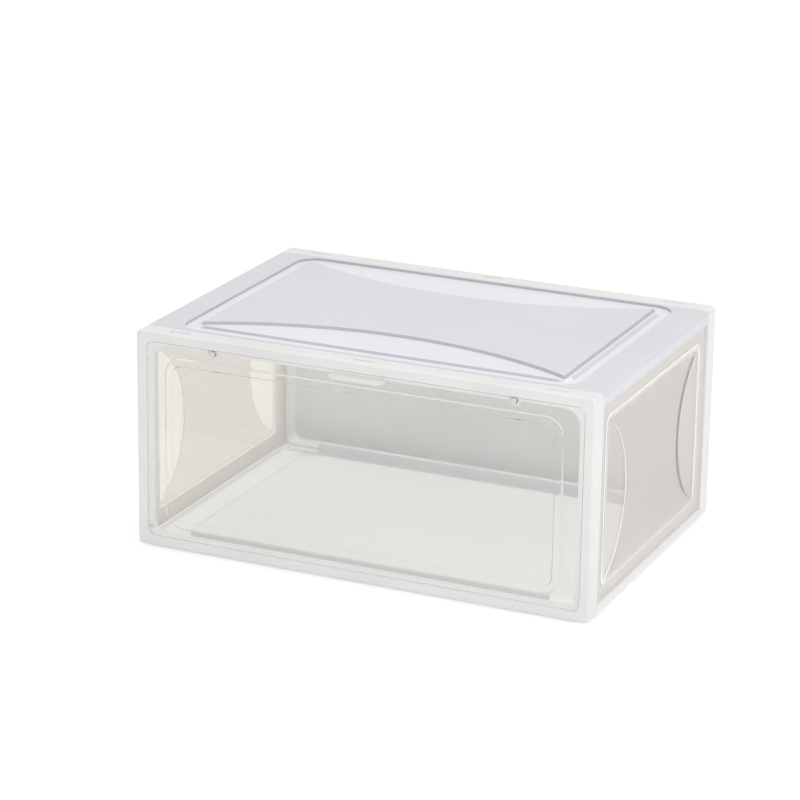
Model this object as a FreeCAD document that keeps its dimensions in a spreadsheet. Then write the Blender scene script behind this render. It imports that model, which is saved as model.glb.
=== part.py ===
import FreeCAD, Part
import math
import os
import re
import Sketcher
from FreeCAD import Placement, Rotation, Vector

# A stackable shoe box whose clear front drops open on two stub pins and is held shut by two magnets.
# Six mouldings snap together round the door: a front frame, a back cover, a top, a bottom and two sides.
#
# Frame of the part: millimetres, +X to the right, +Y to the back, +Z up. The origin is under the middle
# of the whole box, pull tongue included, on the surface that it stands on. The door faces -Y.

# ---------------------------------------------------------------------------------------------------
# Driving dimensions. Each one becomes a cell of the sheet "Sizes" with its name as alias.
# ---------------------------------------------------------------------------------------------------
SIZES = {
    # overall
    "overall_width": 360.0,
    "overall_depth": 252.0,
    "rim_height": 167.0,
    # front frame and back cover
    "frame_depth": 15.7,
    "cover_depth": 16.0,
    "face_width": 8.0,          # left and right bars, as seen from the front
    "face_height": 7.5,         # top and bottom bars, as seen from the front
    "frame_wall": 2.0,
    "inner_wall": 1.6,
    "outer_corner": 4.0,
    "opening_corner": 6.0,
    "front_edge_round": 2.5,
    "back_edge_round": 1.5,
    "opening_edge_round": 0.8,
    "seam_gap": 0.2,            # between one moulding and the next on the outside
    "slip_gap": 0.2,            # between a tongue or plate and the channel that it slides in
    # door seat
    "seat_width": 4.4,
    "seat_height": 3.3,
    "seat_corner": 12.0,
    "seat_wall": 1.6,
    "seat_foot_gap": 0.3,       # from the foot of a side seat to the open door, which it stops
    # door
    "door_recess": 1.6,
    "door_wall": 1.8,
    "door_gap": 0.5,            # all round, and to the seat
    "door_corner": 5.5,
    "bead_rise": 0.9,
    "bead_inset": 23.3,         # from the outside of the box to the outside of the bead
    "bead_inset_top": 17.6,
    "bead_inset_bottom": 16.6,
    "bead_width": 5.6,
    "bead_corner": 14.0,
    "bead_slope": 40.0,         # degrees
    # pull tongue
    "pull_reach": 11.0,         # in front of the frame
    "pull_width": 43.0,
    "pull_corner": 7.0,
    "pull_thickness": 1.4,
    "pull_drop": 9.8,           # from the rim down to the top of the tongue
    "pull_edge_round": 0.5,
    # hinge
    "hinge_clearance": 0.1,     # from the open door to the rounded corners of the opening
    "pin_radius": 1.2,
    "pin_length": 3.0,
    "pin_root": 4.0,            # length of pin moulded into the door
    "pin_clearance": 0.05,
    "hinge_boss": 7.0,
    "hinge_boss_wall": 0.8,     # behind the blind end of the bore
    # magnets and studs
    "catch_offset": 118.0,
    "catch_drop": 10.4,
    "magnet_radius": 2.5,
    "magnet_thickness": 2.0,
    "magnet_sink": 0.1,
    "magnet_fit": 0.05,
    "magnet_wall": 1.5,
    "magnet_boss_corner": 3.0,
    "magnet_boss_rise": 0.1,    # of the boss in front of the seat
    "magnet_floor": 1.0,        # behind the pocket
    "stud_head_radius": 2.4,
    "stud_head": 0.6,
    "stud_tail": 0.25,
    "stud_shank_radius": 1.2,
    "stud_fit": 0.05,
    "stud_dimple_radius": 0.7,
    "stud_dimple_depth": 0.3,
    # snap slots and hooks
    "slot_length": 16.5,
    "slot_width": 1.8,
    "slot_offset": 148.0,
    "slot_front": 8.0,          # from the front of the frame
    "slot_back": 7.0,           # from the back of the cover
    "hook_gap": 0.3,            # round a hook in its slot
    "hook_sink": 0.9,           # of a hook's tip below the outside of the frame
    # plates of the top, the bottom and the sides
    "plate_wall": 2.0,
    "tongue_wall": 1.6,
    "tongue_reach": 12.5,
    "tongue_inset": 10.0,       # from the outside of the box to the end of a tongue
    "tongue_root": 2.0,         # of the web that joins a tongue to its plate
    "skirt_wall": 2.0,
    "top_skirt": 10.0,
    "bottom_skirt": 7.7,
    "rib_wall": 1.6,
    "rib_height": 6.0,
    "rib_end_gap": 6.0,         # from a rib's end to the frame or the cover
    # relief of the top
    "well_inset_x": 24.3,
    "well_inset_y": 19.1,
    "well_corner": 17.0,
    "well_depth": 2.2,
    "well_width_x": 7.2,
    "well_width_y": 11.2,
    "plateau_corner": 10.0,
    "plateau_drop": 0.5,        # of the plateau below the rim
    "plateau_run_x": 3.0,
    "plateau_run_y": 2.0,
    "field_rise": 2.3,          # of the waisted field above the plateau
    "field_inset": 2.0,         # from the plateau's edge to the field's ends
    "field_waist": 70.0,        # from the outside of the box to the middle of each hollow side
    "field_slope": 25.0,        # degrees
    # relief of the bottom
    "nest_clearance": 0.6,      # over the field of the box below
    "nest_run": 4.5,
    "nest_corner": 14.0,
    "upstand_inset": 36.4,
    "upstand_height": 12.0,
    "upstand_wall": 1.6,
    # relief of the sides
    "side_bead_front": 27.0,
    "side_bead_back": 29.0,
    "side_bead_top": 21.0,
    "side_bead_bottom": 19.0,
    "side_bead_width": 3.0,
    "side_bead_rise": 0.8,
    "side_bead_corner": 6.0,
    "side_field_rise": 1.2,
    "side_field_waist": 40.0,
    # relief of the back
    "back_field_inset": 24.0,
    "back_field_recess": 0.7,
}

doc = FreeCAD.newDocument("shoe_box")
sheet = doc.addObject("Spreadsheet::Sheet", "Sizes")
for row, (alias, number) in enumerate(SIZES.items(), start=1):
    sheet.set(f"A{row}", alias)
    sheet.set(f"B{row}", str(number))
    sheet.setAlias(f"B{row}", alias)
doc.recompute()


# ---------------------------------------------------------------------------------------------------
# Formulas. They are written with the names above and bound to the features as expressions.
# ---------------------------------------------------------------------------------------------------
def formula(text):
    """The formula with each size's name turned into its cell in the sheet."""
    return re.sub(r"[a-z][a-z_]+[a-z]", lambda word: cell(word.group(0)), text)


def cell(word):
    """The sheet's cell for a size, or the word itself for a function such as tan."""
    return f"Sizes.{word}" if word in SIZES else word


def size(text):
    """The number that a formula gives with the sheet as it is."""
    return float(sheet.evalExpression(formula(text)))


def half(text):
    """Half of a formula."""
    return f"({text}) / 2"


def minus(text):
    """A formula with its sign changed."""
    return f"0 - ({text})"


SIDE_X = "overall_width / 2"
FRONT_Y = "(pull_reach - overall_depth) / 2"
BACK_Y = "(pull_reach + overall_depth) / 2"
OPENING_X = f"{SIDE_X} - face_width"
OPENING_LOW = "face_height"
OPENING_TOP = "rim_height - face_height"
SEAT_Y = f"{FRONT_Y} + door_recess + door_wall + door_gap"
DOOR_Y = f"{FRONT_Y} + door_recess"
HINGE_Y = f"{DOOR_Y} + door_wall / 2"
HINGE_Z = f"{OPENING_LOW} + opening_corner + door_wall / 2 + hinge_clearance"
CATCH_Z = "rim_height - catch_drop"
PLATE_FRONT = f"{FRONT_Y} + frame_depth + seam_gap"
PLATE_BACK = f"{BACK_Y} - cover_depth - seam_gap"
SIDE_FACE = f"{SIDE_X} - max(frame_wall; skirt_wall)"
CATCHES = ["0 - catch_offset", "catch_offset"]
SLOTS = ["0 - slot_offset", "0", "slot_offset"]
MAGNET_POCKET = "magnet_sink + magnet_thickness"


# ---------------------------------------------------------------------------------------------------
# Sketches. An outline adds its lines and arcs to a sketch and ties them to the sheet.
# ---------------------------------------------------------------------------------------------------
def tie(sketch, kind, *arguments):
    """Add a constraint, bound to a formula where its last argument is one."""
    if isinstance(arguments[-1], str):
        number = size(arguments[-1])
        index = sketch.addConstraint(Sketcher.Constraint(kind, *arguments[:-1], number))
        sketch.setExpression(f"Constraints[{index}]", formula(arguments[-1]))
    else:
        sketch.addConstraint(Sketcher.Constraint(kind, *arguments))


def tie_place(sketch, kind, item, point, text):
    """Fix one coordinate of a sketch point, measured from the sketch's origin."""
    if abs(size(text)) < 1e-9:
        tie(sketch, "PointOnObject", item, point, -2 if kind == "DistanceX" else -1)
    elif size(text) < 0:
        tie(sketch, kind, item, point, -1, 1, minus(text))
    else:
        tie(sketch, kind, -1, 1, item, point, text)


class Rectangle:
    """A rectangle between four formulas, with rounded corners where a corner radius is given."""

    def __init__(self, left, right, low, high, corner=None):
        self.sides = (left, right, low, high)
        self.corner = corner

    def draw(self, sketch):
        left, right, low, high = (size(side) for side in self.sides)
        radius = size(self.corner) if self.corner else 0.0
        starts = [(left + radius, low), (right, low + radius), (right - radius, high), (left, high - radius)]
        ends = [(right - radius, low), (right, high - radius), (left + radius, high), (left, low + radius)]
        lines = []
        for start, end in zip(starts, ends):
            segment = Part.LineSegment(Vector(*start, 0), Vector(*end, 0))
            lines.append(sketch.addGeometry(segment, False))
        if self.corner:
            self.round_corners(sketch, lines, ends, starts[1:] + starts[:1], radius)
        else:
            for line, following in zip(lines, lines[1:] + lines[:1]):
                tie(sketch, "Coincident", line, 2, following, 1)
        for line in (lines[0], lines[2]):
            tie(sketch, "Horizontal", line)
        for line in (lines[1], lines[3]):
            tie(sketch, "Vertical", line)
        for kind, line, text in zip(("DistanceX", "DistanceX", "DistanceY", "DistanceY"),
                                    (lines[3], lines[1], lines[0], lines[2]), self.sides):
            tie_place(sketch, kind, line, 1, text)

    def round_corners(self, sketch, lines, ends, starts, radius):
        centres = [(ends[0][0], ends[0][1] + radius), (ends[1][0] - radius, ends[1][1]),
                   (ends[2][0], ends[2][1] - radius), (ends[3][0] + radius, ends[3][1])]
        arcs = []
        for quarter, (end, start, centre) in enumerate(zip(ends, starts, centres)):
            circle = Part.Circle(Vector(*centre, 0), Vector(0, 0, 1), radius)
            first = math.radians(270 + 90 * quarter)
            arcs.append(sketch.addGeometry(Part.ArcOfCircle(circle, first, first + math.pi / 2), False))
        for line, arc, following in zip(lines, arcs, lines[1:] + lines[:1]):
            tie(sketch, "Tangent", line, 2, arc, 1)
            tie(sketch, "Tangent", arc, 2, following, 1)
        for arc in arcs[1:]:
            tie(sketch, "Equal", arcs[0], arc)
        tie(sketch, "Radius", arcs[0], self.corner)


class Circle:
    """A circle about a point given by two formulas."""

    def __init__(self, across, up, radius):
        self.across = across
        self.up = up
        self.radius = radius

    def draw(self, sketch):
        centre = Vector(size(self.across), size(self.up), 0)
        circle = sketch.addGeometry(Part.Circle(centre, Vector(0, 0, 1), size(self.radius)), False)
        tie(sketch, "Radius", circle, self.radius)
        tie_place(sketch, "DistanceX", circle, 3, self.across)
        tie_place(sketch, "DistanceY", circle, 3, self.up)


class Waist:
    """A field with four corners, two straight ends and two hollow sides, each side one arc.

    The hollows are the low and high sides of the sketch, or its left and right ones if they stand.
    """

    def __init__(self, left, right, low, high, hollow_a, hollow_b, standing=False):
        self.sides = (left, right, low, high)
        self.hollows = (hollow_a, hollow_b)
        self.standing = standing

    def draw(self, sketch):
        left, right, low, high = (size(side) for side in self.sides)
        corners = [Vector(left, low, 0), Vector(right, low, 0), Vector(right, high, 0), Vector(left, high, 0)]
        if self.standing:
            corners = corners[1:] + corners[:1]
        first, second = (size(hollow) for hollow in self.hollows)
        middle = Vector((left + right) / 2, (low + high) / 2, 0)
        middles = [Vector(middle.x, first, 0), Vector(middle.x, second, 0)]
        if self.standing:
            middles = [Vector(second, middle.y, 0), Vector(first, middle.y, 0)]
        near = sketch.addGeometry(Part.Arc(corners[0], middles[0], corners[1]), False)
        end_b = sketch.addGeometry(Part.LineSegment(corners[1], corners[2]), False)
        far = sketch.addGeometry(Part.Arc(corners[2], middles[1], corners[3]), False)
        end_a = sketch.addGeometry(Part.LineSegment(corners[3], corners[0]), False)
        # Each arc is stored counter-clockwise, so a hollow side runs from its second corner to its first.
        tie(sketch, "Coincident", near, 2, end_a, 2)
        tie(sketch, "Coincident", near, 1, end_b, 1)
        tie(sketch, "Coincident", far, 2, end_b, 2)
        tie(sketch, "Coincident", far, 1, end_a, 1)
        self.place(sketch, near, far, end_a, end_b)

    def place(self, sketch, near, far, end_a, end_b):
        left, right, low, high = self.sides
        first, second = self.hollows
        if self.standing:
            ends, hollows, along, across = (low, high), ((near, right, second), (far, left, first)), "Y", "X"
        else:
            ends, hollows, along, across = (left, right), ((near, low, first), (far, high, second)), "X", "Y"
        flat = "Horizontal" if self.standing else "Vertical"
        tie(sketch, flat, end_a)
        tie(sketch, flat, end_b)
        lines = (end_a, end_b)
        for line, text in zip(lines, ends):
            tie_place(sketch, f"Distance{along}", line, 1, text)
        for arc, edge, hollow in hollows:
            for point in (1, 2):
                tie_place(sketch, f"Distance{across}", arc, point, edge)
            depth = f"abs(({hollow}) - ({edge}))"
            chord = f"abs(({ends[1]}) - ({ends[0]}))"
            tie(sketch, "Radius", arc, f"(({chord})^2 / 4 + ({depth})^2) / (2 * ({depth}))")


class Tongue:
    """A strip that reaches forward from a straight root and has two rounded front corners."""

    def __init__(self, width, front, root, corner):
        self.width = width
        self.front = front
        self.root = root
        self.corner = corner

    def draw(self, sketch):
        reach, front, root = size(half(self.width)), size(self.front), size(self.root)
        radius = size(self.corner)
        points = [(-reach, root), (-reach, front + radius), (-reach + radius, front),
                  (reach - radius, front), (reach, front + radius), (reach, root)]
        spots = [Vector(*point, 0) for point in points]
        left = sketch.addGeometry(Part.LineSegment(spots[0], spots[1]), False)
        edge = sketch.addGeometry(Part.LineSegment(spots[2], spots[3]), False)
        right = sketch.addGeometry(Part.LineSegment(spots[4], spots[5]), False)
        back = sketch.addGeometry(Part.LineSegment(spots[5], spots[0]), False)
        arcs = []
        for centre_x, first in ((-reach + radius, math.pi), (reach - radius, 1.5 * math.pi)):
            circle = Part.Circle(Vector(centre_x, front + radius, 0), Vector(0, 0, 1), radius)
            arcs.append(sketch.addGeometry(Part.ArcOfCircle(circle, first, first + math.pi / 2), False))
        tie(sketch, "Tangent", left, 2, arcs[0], 1)
        tie(sketch, "Tangent", arcs[0], 2, edge, 1)
        tie(sketch, "Tangent", edge, 2, arcs[1], 1)
        tie(sketch, "Tangent", arcs[1], 2, right, 1)
        tie(sketch, "Coincident", right, 2, back, 1)
        tie(sketch, "Coincident", back, 2, left, 1)
        tie(sketch, "Horizontal", back)
        tie(sketch, "Horizontal", edge)
        tie(sketch, "Vertical", left)
        tie(sketch, "Equal", arcs[0], arcs[1])
        tie(sketch, "Radius", arcs[0], self.corner)
        tie_place(sketch, "DistanceX", left, 1, minus(half(self.width)))
        tie_place(sketch, "DistanceX", right, 2, half(self.width))
        tie_place(sketch, "DistanceY", back, 1, self.root)
        tie_place(sketch, "DistanceY", edge, 1, self.front)


# ---------------------------------------------------------------------------------------------------
# Bodies and features. A direction is the axis that a feature runs along: X, Y or Z.
# ---------------------------------------------------------------------------------------------------
PLANES = {"X": "YZ_Plane", "Y": "XZ_Plane", "Z": "XY_Plane"}


def new_body(name):
    """A body whose Label is the name of its file."""
    body = doc.addObject("PartDesign::Body", name)
    body.Label = name
    return body


def new_sketch(body, name, direction, place, outlines):
    """A sketch across a direction, at a place given by a formula."""
    sketch = body.newObject("Sketcher::SketchObject", name)
    plane = next(item for item in body.Origin.OriginFeatures if item.Role == PLANES[direction])
    sketch.AttachmentSupport = [(plane, "")]
    sketch.MapMode = "FlatFace"
    # The XZ plane faces -Y, so its offset has the other sign.
    offset = minus(place) if direction == "Y" else place
    sketch.AttachmentOffset = Placement(Vector(0, 0, size(offset)), Rotation())
    sketch.setExpression("AttachmentOffset.Base.z", formula(offset))
    for outline in outlines:
        outline.draw(sketch)
    return sketch


def volume(body):
    """The volume of a body as it stands."""
    doc.recompute()
    return body.Shape.Volume if not body.Shape.isNull() else 0.0


def add_block(body, name, direction, low, high, *outlines, slope=None):
    """Add the outlines' material between two places, narrowing towards the far one if it slopes.

    Across Y the far place is the low one, because such a sketch faces the front.
    """
    start = high if direction == "Y" else low
    sketch = new_sketch(body, f"{name}_outline", direction, start, outlines)
    before = volume(body)
    pad = body.newObject("PartDesign::Pad", name)
    pad.Profile = sketch
    pad.Length = size(f"({high}) - ({low})")
    pad.setExpression("Length", formula(f"({high}) - ({low})"))
    if slope:
        pad.TaperAngle = -size(slope)
        pad.setExpression("TaperAngle", formula(minus(slope)))
    if volume(body) <= before:
        raise RuntimeError(f"{name} adds nothing to {body.Label}")
    return pad


def cut_block(body, name, direction, low, high, *outlines):
    """Cut the outlines away between two places."""
    start = low if direction == "Y" else high
    sketch = new_sketch(body, f"{name}_outline", direction, start, outlines)
    before = volume(body)
    pocket = body.newObject("PartDesign::Pocket", name)
    pocket.Profile = sketch
    pocket.Length = size(f"({high}) - ({low})")
    pocket.setExpression("Length", formula(f"({high}) - ({low})"))
    if volume(body) >= before:
        raise RuntimeError(f"{name} cuts nothing from {body.Label}")
    return pocket


def loft(body, kind, name, sections):
    """Add or cut the solid between two level outlines, each given with its height."""
    sketches = []
    for number, (height, outline) in enumerate(sections):
        sketches.append(new_sketch(body, f"{name}_outline_{number}", "Z", height, [outline]))
    before = volume(body)
    feature = body.newObject(f"PartDesign::{kind}Loft", name)
    feature.Profile = sketches[0]
    feature.Sections = sketches[1:]
    feature.Ruled = True
    change = volume(body) - before
    if change == 0 or (change > 0) != (kind == "Additive"):
        raise RuntimeError(f"{name} changes nothing on {body.Label}")
    return feature


def round_edges(body, name, radius, chosen):
    """Round the edges of the body's last feature that the function picks."""
    doc.recompute()
    tip = body.Tip
    names = [f"Edge{index}" for index, edge in enumerate(tip.Shape.Edges, start=1) if chosen(edge)]
    if not names:
        raise RuntimeError(f"{name} finds no edge on {body.Label}")
    fillet = body.newObject("PartDesign::Fillet", name)
    fillet.Base = (tip, names)
    fillet.Radius = size(radius)
    fillet.setExpression("Radius", formula(radius))
    doc.recompute()
    return fillet


def in_plane(edge, axis, place):
    """Whether an edge lies in the plane across an axis at a place."""
    box = edge.BoundBox
    low, high = {"X": (box.XMin, box.XMax), "Y": (box.YMin, box.YMax), "Z": (box.ZMin, box.ZMax)}[axis]
    return abs(low - place) < 1e-4 and abs(high - place) < 1e-4


def across(inset, corner=None):
    """The front outline of the box, drawn in by the same distance on every side."""
    return Rectangle(minus(f"{SIDE_X} - ({inset})"), f"{SIDE_X} - ({inset})",
                     inset, f"rim_height - ({inset})", corner)


def opening(growth, corner):
    """The outline of the front opening, grown by a distance."""
    return Rectangle(minus(f"{OPENING_X} + ({growth})"), f"{OPENING_X} + ({growth})",
                     f"{OPENING_LOW} - ({growth})", f"{OPENING_TOP} + ({growth})", corner)


def plan(inset_x, inset_y, corner):
    """A level rectangle drawn in from the outside of the box."""
    return Rectangle(minus(f"{SIDE_X} - ({inset_x})"), f"{SIDE_X} - ({inset_x})",
                     f"{FRONT_Y} + ({inset_y})", f"{BACK_Y} - ({inset_y})", corner)


# ---------------------------------------------------------------------------------------------------
# Channels of the front frame and the back cover
# ---------------------------------------------------------------------------------------------------
def cut_slots(body, centre_y):
    """Cut the slots for the snap hooks through the top and bottom walls of a channel."""
    levels = {"top": ("rim_height - frame_wall", "rim_height"), "bottom": ("0", "frame_wall")}
    for level, (low, high) in levels.items():
        outlines = []
        for centre in SLOTS:
            outlines.append(Rectangle(f"({centre}) - slot_length / 2", f"({centre}) + slot_length / 2",
                                      f"({centre_y}) - slot_width / 2", f"({centre_y}) + slot_width / 2"))
        cut_block(body, f"{level}_slots", "Z", low, high, *outlines)


def make_front_frame():
    """The front frame: outer wall, face, inner wall, door seat, magnet bosses and hinge bores."""
    body = new_body("front_frame")
    back = f"{FRONT_Y} + frame_depth"
    add_block(body, "ring", "Y", FRONT_Y, back,
              across("0", "outer_corner"), opening("0", "opening_corner"))
    cut_block(body, "channel", "Y", f"{FRONT_Y} + frame_wall", back,
              across("frame_wall", "outer_corner - frame_wall"),
              opening("inner_wall", "opening_corner + inner_wall"))
    for side in ("left", "right"):
        add_hinge_boss(body, side)
    boss_face = f"{SEAT_Y} - magnet_boss_rise"
    boss = "(magnet_radius + magnet_fit + magnet_wall)"
    add_block(body, "magnet_bosses", "Y", boss_face, f"{boss_face} + {MAGNET_POCKET} + magnet_floor",
              *[Rectangle(f"{centre} - {boss}", f"{centre} + {boss}", f"{CATCH_Z} - {boss}",
                          f"{OPENING_TOP} + inner_wall / 2", "magnet_boss_corner") for centre in CATCHES])
    add_block(body, "seat", "Y", SEAT_Y, f"{SEAT_Y} + seat_wall",
              opening("inner_wall / 2", "opening_corner + inner_wall / 2"),
              Rectangle(minus(f"{OPENING_X} - seat_width"), f"{OPENING_X} - seat_width",
                        f"{OPENING_LOW} + seat_height", f"{OPENING_TOP} - seat_height", "seat_corner"))
    cut_block(body, "seat_foot_gap", "Y", SEAT_Y, f"{SEAT_Y} + seat_wall",
              Rectangle(minus(OPENING_X), OPENING_X,
                        OPENING_LOW, f"{HINGE_Z} + door_wall / 2 + seat_foot_gap"))
    cut_block(body, "magnet_pockets", "Y", boss_face, f"{boss_face} + {MAGNET_POCKET}",
              *at_catches("magnet_radius + magnet_fit"))
    cut_slots(body, f"{FRONT_Y} + slot_front")
    front = size(FRONT_Y)
    round_edges(body, "front_edges", "front_edge_round",
                lambda edge: in_plane(edge, "Y", front) and is_outer(edge))
    round_edges(body, "opening_edges", "opening_edge_round",
                lambda edge: in_plane(edge, "Y", front) and not is_outer(edge))
    return body


def is_outer(edge):
    """Whether an edge lies nearer to the outside of the box than to the opening."""
    middle = edge.valueAt((edge.FirstParameter + edge.LastParameter) / 2)
    return (abs(middle.x) > size(f"{SIDE_X} - face_width / 2") or middle.z < size("face_height / 2")
            or middle.z > size("rim_height - face_height / 2"))


def add_hinge_boss(body, side):
    """Thicken the inner wall at a lower corner and bore it for the door's stub pin."""
    near = f"{OPENING_X} + inner_wall / 2"
    far = f"{OPENING_X} + pin_length + pin_clearance + hinge_boss_wall"
    low, high = (near, far) if side == "right" else (minus(far), minus(near))
    add_block(body, f"hinge_boss_{side}", "X", low, high,
              Rectangle(f"{FRONT_Y} + frame_wall / 2", f"{HINGE_Y} + hinge_boss / 2",
                        f"{HINGE_Z} - hinge_boss / 2", f"{HINGE_Z} + hinge_boss / 2"))
    mouth, end = f"{OPENING_X} - door_gap", f"{OPENING_X} + pin_length + pin_clearance"
    low, high = (mouth, end) if side == "right" else (minus(end), minus(mouth))
    cut_block(body, f"hinge_bore_{side}", "X", low, high,
              Circle(HINGE_Y, HINGE_Z, "pin_radius + pin_clearance"))


def at_catches(radius):
    """A circle about each of the two places where a magnet meets a stud."""
    return [Circle(centre, CATCH_Z, radius) for centre in CATCHES]


def cut_inside(body, name, front, *outlines):
    """Cut the outlines out of the back cover's tray, from its open front to its wall."""
    cut_block(body, name, "Y", front, f"{BACK_Y} - frame_wall", *outlines)


def make_back_cover():
    """The back cover: a tray with the same channel as the front frame and a beaded wall."""
    body = new_body("back_cover")
    front = f"{BACK_Y} - cover_depth"
    add_block(body, "tray", "Y", front, BACK_Y, across("0", "outer_corner"))
    cut_inside(body, "inside", front, opening("0", "opening_corner"))
    cut_inside(body, "channel", front, across("frame_wall", "outer_corner - frame_wall"),
               opening("inner_wall", "opening_corner + inner_wall"))
    cut_slots(body, f"{BACK_Y} - slot_back")
    cut_block(body, "back_field", "Y", f"{BACK_Y} - back_field_recess", BACK_Y,
              across("back_field_inset", "bead_corner"))
    back = size(BACK_Y)
    round_edges(body, "back_edges", "back_edge_round",
                lambda edge: in_plane(edge, "Y", back) and is_outer(edge))
    return body


# ---------------------------------------------------------------------------------------------------
# Plates of the top and the bottom
# ---------------------------------------------------------------------------------------------------
def add_tongues(body, strip, web, hooks):
    """Add the tongues that slide into the two channels, and the hooks that snap into their slots.

    Each of the three is a pair of heights: the strip's, its hooks' and those of the web that joins the
    strip to the plate.
    """
    reach = f"{SIDE_X} - tongue_inset"
    spans = {"front": (f"{PLATE_FRONT} - tongue_reach", PLATE_FRONT, f"{PLATE_FRONT} + tongue_root"),
             "back": (f"{PLATE_BACK} + tongue_reach", PLATE_BACK, f"{PLATE_BACK} - tongue_root")}
    centres = {"front": f"{FRONT_Y} + slot_front", "back": f"{BACK_Y} - slot_back"}
    for end, (tip, edge, root) in spans.items():
        near, far = (tip, root) if end == "front" else (root, tip)
        add_block(body, f"{end}_tongue", "Z", *strip, Rectangle(minus(reach), reach, near, far))
        near, far = (edge, root) if end == "front" else (root, edge)
        add_block(body, f"{end}_web", "Z", *web, Rectangle(minus(reach), reach, near, far))
        outlines = []
        for centre in SLOTS:
            half_length = "(slot_length / 2 - hook_gap)"
            half_width = "(slot_width / 2 - hook_gap)"
            outlines.append(Rectangle(f"({centre}) - {half_length}", f"({centre}) + {half_length}",
                                      f"{centres[end]} - {half_width}", f"{centres[end]} + {half_width}"))
        add_block(body, f"{end}_hooks", "Z", *hooks, *outlines)


def add_skirts(body, low, high, rib_low, rib_high):
    """Add the skirts that close the sides and the ribs that hold the side panels against them."""
    add_block(body, "skirts", "Z", low, high,
              Rectangle(minus(SIDE_X), minus(SIDE_FACE), PLATE_FRONT, PLATE_BACK),
              Rectangle(SIDE_FACE, SIDE_X, PLATE_FRONT, PLATE_BACK))
    rib_outer = f"{SIDE_FACE} - plate_wall - slip_gap"
    rib_inner = f"{rib_outer} - rib_wall"
    ends = (f"{PLATE_FRONT} + rib_end_gap", f"{PLATE_BACK} - rib_end_gap")
    add_block(body, "ribs", "Z", rib_low, rib_high,
              Rectangle(minus(rib_outer), minus(rib_inner), *ends), Rectangle(rib_inner, rib_outer, *ends))


def round_long_edges(body, level):
    """Round the two outer edges that run from the front frame to the back cover at a level."""
    reach, height = size(SIDE_X), size(level)
    round_edges(body, "long_edges", "outer_corner",
                lambda edge: in_plane(edge, "Z", height) and abs(abs(edge.BoundBox.Center.x) - reach) < 1e-4)


def make_top_panel():
    """The top: a rim, a sunk well, a plateau and the waisted field that stands on it."""
    body = new_body("top_panel")
    rim = "rim_height"
    floor = f"{rim} - well_depth"
    under = f"{floor} - plate_wall"
    level = f"{rim} - plateau_drop"
    add_block(body, "rim_plate", "Z", f"{rim} - plate_wall", rim,
              Rectangle(minus(SIDE_X), SIDE_X, PLATE_FRONT, PLATE_BACK))
    add_block(body, "well_pan", "Z", under, f"{rim} - plate_wall / 2",
              plan("well_inset_x - plate_wall", "well_inset_y - plate_wall", "well_corner + plate_wall"))
    cut_block(body, "well", "Z", floor, rim, plan("well_inset_x", "well_inset_y", "well_corner"))
    foot_x, foot_y = "well_inset_x + well_width_x", "well_inset_y + well_width_y"
    edge_x, edge_y = f"{foot_x} + plateau_run_x", f"{foot_y} + plateau_run_y"
    loft(body, "Additive", "plateau", [(floor, plan(foot_x, foot_y, "plateau_corner")),
                                       (level, plan(edge_x, edge_y, "plateau_corner"))])
    field_x = f"{SIDE_X} - ({edge_x} + field_inset)"
    field_y = f"{edge_y} + field_inset / 2"
    field = Waist(minus(field_x), field_x, f"{FRONT_Y} + {field_y}", f"{BACK_Y} - ({field_y})",
                  f"{FRONT_Y} + field_waist", f"{BACK_Y} - field_waist")
    add_block(body, "field", "Z", level, f"{level} + field_rise", field, slope="field_slope")
    wall = "plate_wall"
    inner_corner = f"plateau_corner - {wall}"
    loft(body, "Subtractive", "plateau_hollow",
         [(under, plan(f"{foot_x} + {wall}", f"{foot_y} + {wall}", inner_corner)),
          (f"{level} - {wall}", plan(f"{edge_x} + {wall}", f"{edge_y} + {wall}", inner_corner))])
    hollow_x = f"{field_x} - {wall}"
    hollow_y = f"{field_y} + {wall}"
    cut_block(body, "field_hollow", "Z", f"{level} - {wall}", f"{level} + field_rise - {wall}",
              Waist(minus(hollow_x), hollow_x, f"{FRONT_Y} + {hollow_y}", f"{BACK_Y} - ({hollow_y})",
                    f"{FRONT_Y} + field_waist + {wall}", f"{BACK_Y} - field_waist - {wall}"))
    strip_top = f"{rim} - frame_wall - slip_gap"
    strip_low = f"{strip_top} - tongue_wall"
    add_tongues(body, (strip_low, strip_top), (strip_low, f"{rim} - plate_wall / 2"),
                (strip_top, f"{rim} - hook_sink"))
    add_skirts(body, f"{rim} - top_skirt", f"{rim} - plate_wall / 2",
               f"{rim} - rib_height", f"{rim} - plate_wall / 2")
    round_long_edges(body, rim)
    return body


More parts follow.
